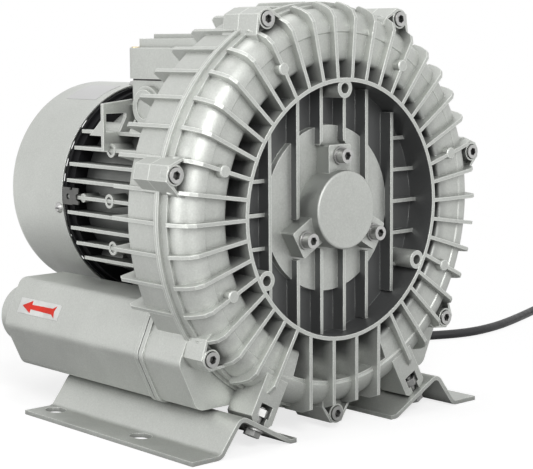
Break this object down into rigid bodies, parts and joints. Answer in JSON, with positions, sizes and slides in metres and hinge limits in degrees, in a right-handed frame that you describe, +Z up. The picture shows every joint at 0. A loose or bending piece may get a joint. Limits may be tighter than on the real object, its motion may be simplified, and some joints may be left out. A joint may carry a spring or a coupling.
{
  "type": "side channel blower",
  "caption": "Side channel blower with finned ring casing, bladed impeller, fan-cooled motor, terminal box, two silencers, bent feet and a cable with plug.",
  "frame": {"origin": "on the floor under the middle of the machine, midway between its left and right feet and between the front of the casing and the back of the fan cowl", "axes": "+Y along the shaft towards the motor and the open ends of both silencers, +Z up, +X towards the cable side"},
  "size_m": [0.7667, 0.2892, 0.2883],
  "materials": {
    "silver_paint": "satin silver-grey paint over cast aluminium",
    "silver_paint_silencer": "satin silver-grey paint over cast aluminium",
    "zinc_steel": "bright zinc plated",
    "zinc_sheet": "satin silver-grey paint over sheet steel",
    "ground_steel": "ground",
    "raw_aluminium": "machined casting",
    "brass": "plain brass",
    "copper_winding": "varnished copper wire",
    "core_steel": "stacked electrical sheet",
    "black_rubber": "matt",
    "black_plastic": "matt moulded",
    "black_sleeve": "soft matt cable sleeve",
    "gasket_rubber": "matt",
    "foam": "open-cell foam",
    "cream_plastic": "moulded",
    "white_plastic": "moulded"
  },
  "bodies": {
    "housing": {"bearing_cap": "silver_paint", "bearing_cap_screws": "zinc_steel", "blanking_plug": "silver_paint", "cable_coil": "black_sleeve", "cable_gland": "black_plastic", "casing_cover": "silver_paint", "casing_screws": "zinc_steel", "cowl_brackets": "zinc_steel", "cowl_screws": "zinc_steel", "end_shield": "silver_paint", "end_shield_screws": "zinc_steel", "fan_cowl": "silver_paint", "foot_bolts": "zinc_steel", "foot_nuts": "zinc_steel", "foot_washers": "zinc_steel", "front_bearing_outer_ring": "ground_steel", "inlet_foam": "foam", "inlet_gasket": "gasket_rubber", "inlet_silencer": "silver_paint_silencer", "left_foot": "zinc_sheet", "motor_flange_screws": "zinc_steel", "motor_housing": "silver_paint", "outlet_foam": "foam", "outlet_gasket": "gasket_rubber", "outlet_silencer": "silver_paint_silencer", "plug_body": "black_rubber", "plug_pins": "brass", "power_cable": "black_sleeve", "rear_bearing_outer_ring": "ground_steel", "rear_casing": "silver_paint", "right_foot": "zinc_sheet", "run_capacitor": "white_plastic", "shaft_seal": "black_rubber", "silencer_screws": "zinc_steel", "stator_core": "core_steel", "stator_windings": "copper_winding", "strain_relief": "black_rubber", "terminal_block": "cream_plastic", "terminal_box_base": "silver_paint", "terminal_box_gasket": "gasket_rubber", "terminal_box_lid": "silver_paint", "terminal_box_screws": "brass"},
    "rotor": {"shaft": "ground_steel", "impeller": "raw_aluminium", "impeller_key": "ground_steel", "rotor_core": "core_steel", "cooling_fan": "black_plastic", "front_bearing_inner_ring": "ground_steel", "rear_bearing_inner_ring": "ground_steel"},
    "front_balls": {"front_bearing_balls": "ground_steel"},
    "rear_balls": {"rear_bearing_balls": "ground_steel"}
  },
  "joints": [
    {"name": "rotor_spin", "type": "hinge", "parent": "housing", "child": "rotor", "pos_m": [0, 0, 0.1506], "axis": [0, 1, 0], "continuous": true},
    {"name": "front_balls_spin", "type": "hinge", "parent": "housing", "child": "front_balls", "pos_m": [0, 0, 0.1506], "axis": [0, 1, 0], "continuous": true},
    {"name": "rear_balls_spin", "type": "hinge", "parent": "housing", "child": "rear_balls", "pos_m": [0, 0, 0.1506], "axis": [0, 1, 0], "continuous": true}
  ],
  "couplings": [
    {"joint": "front_balls_spin", "follows": "rotor_spin", "ratio": 0.38},
    {"joint": "rear_balls_spin", "follows": "rotor_spin", "ratio": 0.38}
  ]
}
